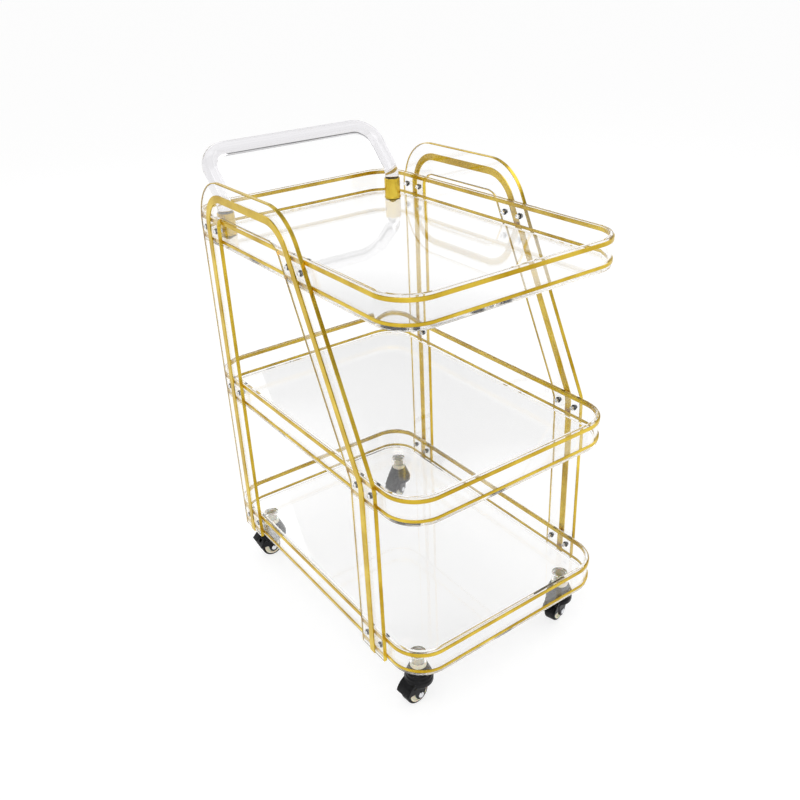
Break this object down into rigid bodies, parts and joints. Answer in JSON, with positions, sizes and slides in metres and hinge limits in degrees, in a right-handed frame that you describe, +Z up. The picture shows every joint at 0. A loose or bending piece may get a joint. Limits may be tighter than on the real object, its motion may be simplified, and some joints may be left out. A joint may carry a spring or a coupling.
{
  "type": "bar cart",
  "caption": "Tiered serving cart of clear rimmed trays between clear side frames edged in gold, with a clear push handle and swivel casters.",
  "frame": {"origin": "on the floor, in the middle of the cart's footprint", "axes": "+Z up, +Y towards the handle end, +X across the cart to the right when seen from the front"},
  "size_m": [0.4242, 0.618, 0.8084],
  "materials": {
    "clear_acrylic": "clear polished acrylic sheet",
    "clear_rod": "clear polished acrylic rod",
    "gold": "satin gold plating",
    "chrome": "polished",
    "steel": "turned",
    "dark_steel": "black oxide",
    "black_plastic": "moulded, slight gloss",
    "black_tyre": "smooth rubber",
    "cream_nylon": "cream nylon"
  },
  "bodies": {
    "chassis": {"bottom_tray_base": "clear_acrylic", "bottom_tray_wall": "clear_acrylic", "bottom_lower_band": "gold", "bottom_upper_band": "gold", "middle_tray_base": "clear_acrylic", "middle_tray_wall": "clear_acrylic", "middle_lower_band": "gold", "middle_upper_band": "gold", "top_tray_base": "clear_acrylic", "top_tray_wall": "clear_acrylic", "top_lower_band": "gold", "top_upper_band": "gold", "left_side_panel": "clear_acrylic", "left_centre_strip": "gold", "left_edge_trim": "gold", "right_side_panel": "clear_acrylic", "right_centre_strip": "gold", "right_edge_trim": "gold", "frame_screws": "chrome", "frame_nuts": "chrome", "spacer_washers": "clear_acrylic", "handle_rod": "clear_rod", "left_ferrule": "gold", "right_ferrule": "gold", "handle_bolts": "dark_steel", "handle_washers": "black_plastic", "front_left_boss": "clear_acrylic", "front_left_socket": "cream_nylon", "front_left_stem": "steel", "front_right_boss": "clear_acrylic", "front_right_socket": "cream_nylon", "front_right_stem": "steel", "rear_left_boss": "clear_acrylic", "rear_left_socket": "cream_nylon", "rear_left_stem": "steel", "rear_right_boss": "clear_acrylic", "rear_right_socket": "cream_nylon", "rear_right_stem": "steel"},
    "front_left_fork": {"front_left_hood": "black_plastic", "front_left_axle": "chrome"},
    "front_left_wheel": {"front_left_tyre": "black_tyre", "front_left_hub": "cream_nylon"},
    "front_right_fork": {"front_right_hood": "black_plastic", "front_right_axle": "chrome"},
    "front_right_wheel": {"front_right_tyre": "black_tyre", "front_right_hub": "cream_nylon"},
    "front_right_pedal": {"front_right_brake_pedal": "black_plastic"},
    "rear_left_fork": {"rear_left_hood": "black_plastic", "rear_left_axle": "chrome"},
    "rear_left_wheel": {"rear_left_tyre": "black_tyre", "rear_left_hub": "cream_nylon"},
    "rear_left_pedal": {"rear_left_brake_pedal": "black_plastic"},
    "rear_right_fork": {"rear_right_hood": "black_plastic", "rear_right_axle": "chrome"},
    "rear_right_wheel": {"rear_right_tyre": "black_tyre", "rear_right_hub": "cream_nylon"},
    "rear_right_pedal": {"rear_right_brake_pedal": "black_plastic"}
  },
  "joints": [
    {"name": "front_left_swivel", "type": "hinge", "parent": "chassis", "child": "front_left_fork", "pos_m": [-0.157, -0.25398, 0.06], "axis": [0, 0, 1], "continuous": true},
    {"name": "front_left_roll", "type": "hinge", "parent": "front_left_fork", "child": "front_left_wheel", "pos_m": [-0.16696, -0.25485, 0.021], "axis": [-0.0872, 0.9962, 0], "continuous": true},
    {"name": "front_right_swivel", "type": "hinge", "parent": "chassis", "child": "front_right_fork", "pos_m": [0.157, -0.25398, 0.06], "axis": [0, 0, 1], "continuous": true},
    {"name": "front_right_roll", "type": "hinge", "parent": "front_right_fork", "child": "front_right_wheel", "pos_m": [0.14734, -0.25657, 0.021], "axis": [-0.2588, 0.9659, 0], "continuous": true},
    {"name": "front_right_brake", "type": "hinge", "parent": "front_right_fork", "child": "front_right_pedal", "pos_m": [0.12937, -0.26138, 0.0503], "axis": [0.2588, -0.9659, 0], "range_deg": [0, 12]},
    {"name": "rear_left_swivel", "type": "hinge", "parent": "chassis", "child": "rear_left_fork", "pos_m": [-0.157, 0.23602, 0.06], "axis": [0, 0, 1], "continuous": true},
    {"name": "rear_left_roll", "type": "hinge", "parent": "rear_left_fork", "child": "rear_left_wheel", "pos_m": [-0.16698, 0.23672, 0.021], "axis": [0.0698, 0.9976, 0], "continuous": true},
    {"name": "rear_left_brake", "type": "hinge", "parent": "rear_left_fork", "child": "rear_left_pedal", "pos_m": [-0.18553, 0.23801, 0.0503], "axis": [-0.0698, -0.9976, 0], "range_deg": [0, 12]},
    {"name": "rear_right_swivel", "type": "hinge", "parent": "chassis", "child": "rear_right_fork", "pos_m": [0.157, 0.23602, 0.06], "axis": [0, 0, 1], "continuous": true},
    {"name": "rear_right_roll", "type": "hinge", "parent": "rear_right_fork", "child": "rear_right_wheel", "pos_m": [0.1476, 0.2326, 0.021], "axis": [-0.342, 0.9397, 0], "continuous": true},
    {"name": "rear_right_brake", "type": "hinge", "parent": "rear_right_fork", "child": "rear_right_pedal", "pos_m": [0.13012, 0.22623, 0.0503], "axis": [0.342, -0.9397, 0], "range_deg": [0, 12]}
  ]
}
